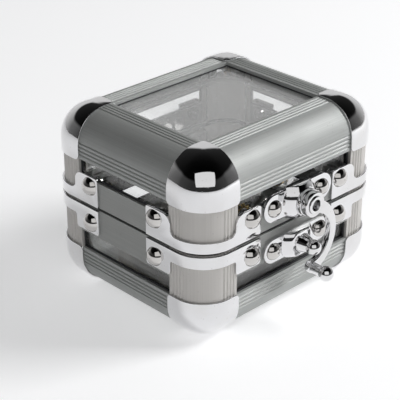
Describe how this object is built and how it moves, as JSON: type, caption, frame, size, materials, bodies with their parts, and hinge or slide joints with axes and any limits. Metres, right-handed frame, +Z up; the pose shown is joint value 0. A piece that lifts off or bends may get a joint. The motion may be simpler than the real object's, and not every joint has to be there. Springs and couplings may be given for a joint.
{
  "type": "wind-up music box",
  "caption": "Small rounded aluminium case with clear windows, chrome ball corners and a swing latch; the hinged lid opens on a key-wound comb and cylinder movement.",
  "frame": {"origin": "centre of the flat underside of the floor panel, which is the face it rests on", "axes": "+Z up, -Y towards the front with the latch, +X to the right, where the winding key is"},
  "size_m": [0.0759, 0.0716, 0.0494],
  "materials": {
    "satin_extrusion": "satin brushed, fluted edges",
    "rim_aluminium": "satin brushed",
    "chrome": "polished",
    "clear_acrylic": "clear, polished",
    "gasket_rubber": "matte",
    "floor_aluminium": "satin",
    "bedplate_nickel": "nickel-plated casting",
    "movement_steel": "ground",
    "movement_brass": "turned",
    "barrel_nickel": "nickel-plated",
    "fan_aluminium": "plain"
  },
  "bodies": {
    "base": {"base_panel": "floor_aluminium", "base_front_rail": "satin_extrusion", "base_back_rail": "satin_extrusion", "base_left_rail": "satin_extrusion", "base_right_rail": "satin_extrusion", "base_corner_posts": "satin_extrusion", "base_ball_corners": "chrome", "base_rim_rails": "rim_aluminium", "base_side_windows": "clear_acrylic", "base_corner_braces": "chrome", "base_rivets": "chrome", "parting_gasket": "gasket_rubber", "latch_lower_plate": "chrome", "latch_catch_post": "chrome", "latch_lower_rivets": "chrome", "hinge_base_leaves": "chrome", "hinge_pins": "chrome", "bedplate": "bedplate_nickel", "bedplate_screws": "movement_steel", "comb": "movement_steel", "comb_screws": "movement_steel", "barrel_brackets": "bedplate_nickel", "cylinder_bracket": "bedplate_nickel", "bearing_plate": "bedplate_nickel", "governor_bracket": "bedplate_nickel", "clutch_sleeve": "movement_steel", "key_bush": "movement_brass"},
    "lid": {"lid_window": "clear_acrylic", "lid_front_rail": "satin_extrusion", "lid_back_rail": "satin_extrusion", "lid_left_rail": "satin_extrusion", "lid_right_rail": "satin_extrusion", "lid_corner_posts": "satin_extrusion", "lid_ball_corners": "chrome", "lid_rim_rails": "rim_aluminium", "lid_side_windows": "clear_acrylic", "lid_corner_braces": "chrome", "lid_rivets": "chrome", "latch_upper_plate": "chrome", "latch_upper_rivets": "chrome", "latch_pivot_stud": "chrome", "hinge_lid_leaves": "chrome"},
    "latch_hook": {"latch_hook": "chrome", "latch_thumb_pin": "chrome"},
    "winding_key": {"winding_key": "chrome", "winding_arbor": "movement_steel"},
    "spring_barrel": {"spring_barrel": "barrel_nickel", "barrel_cover": "barrel_nickel", "mainspring": "movement_steel"},
    "pin_cylinder": {"cylinder_drum": "movement_brass", "cylinder_pins": "movement_steel", "cylinder_shaft": "movement_steel", "cylinder_gear": "movement_brass", "cylinder_wheel": "movement_brass"},
    "governor": {"governor_arbor": "movement_steel", "governor_wheel": "movement_brass"},
    "air_brake": {"fan_arbor": "movement_steel", "fan_vanes": "fan_aluminium"}
  },
  "joints": [
    {"name": "lid_hinge", "type": "hinge", "parent": "base", "child": "lid", "pos_m": [0, 0.02953, 0.0257], "axis": [-1, 0, 0], "range_deg": [0, 105]},
    {"name": "hook_swing", "type": "hinge", "parent": "lid", "child": "latch_hook", "pos_m": [0, -0.028, 0.0316], "axis": [0, -1, 0], "range_deg": [0, 100]},
    {"name": "key_wind", "type": "hinge", "parent": "base", "child": "winding_key", "pos_m": [0, 0.007, 0.01465], "axis": [1, 0, 0], "continuous": true},
    {"name": "barrel_turn", "type": "hinge", "parent": "base", "child": "spring_barrel", "pos_m": [0, 0.007, 0.01465], "axis": [1, 0, 0], "continuous": true},
    {"name": "cylinder_turn", "type": "hinge", "parent": "base", "child": "pin_cylinder", "pos_m": [0, -0.006, 0.01465], "axis": [1, 0, 0], "continuous": true},
    {"name": "governor_turn", "type": "hinge", "parent": "base", "child": "governor", "pos_m": [0, 0.0036, 0.01465], "axis": [1, 0, 0], "continuous": true},
    {"name": "air_brake_spin", "type": "hinge", "parent": "base", "child": "air_brake", "pos_m": [0, 0.0105, 0.01465], "axis": [1, 0, 0], "continuous": true}
  ],
  "couplings": [
    {"joint": "cylinder_turn", "follows": "barrel_turn", "ratio": -1.6},
    {"joint": "governor_turn", "follows": "barrel_turn", "ratio": 4.8},
    {"joint": "air_brake_spin", "follows": "barrel_turn", "ratio": -17.28}
  ]
}
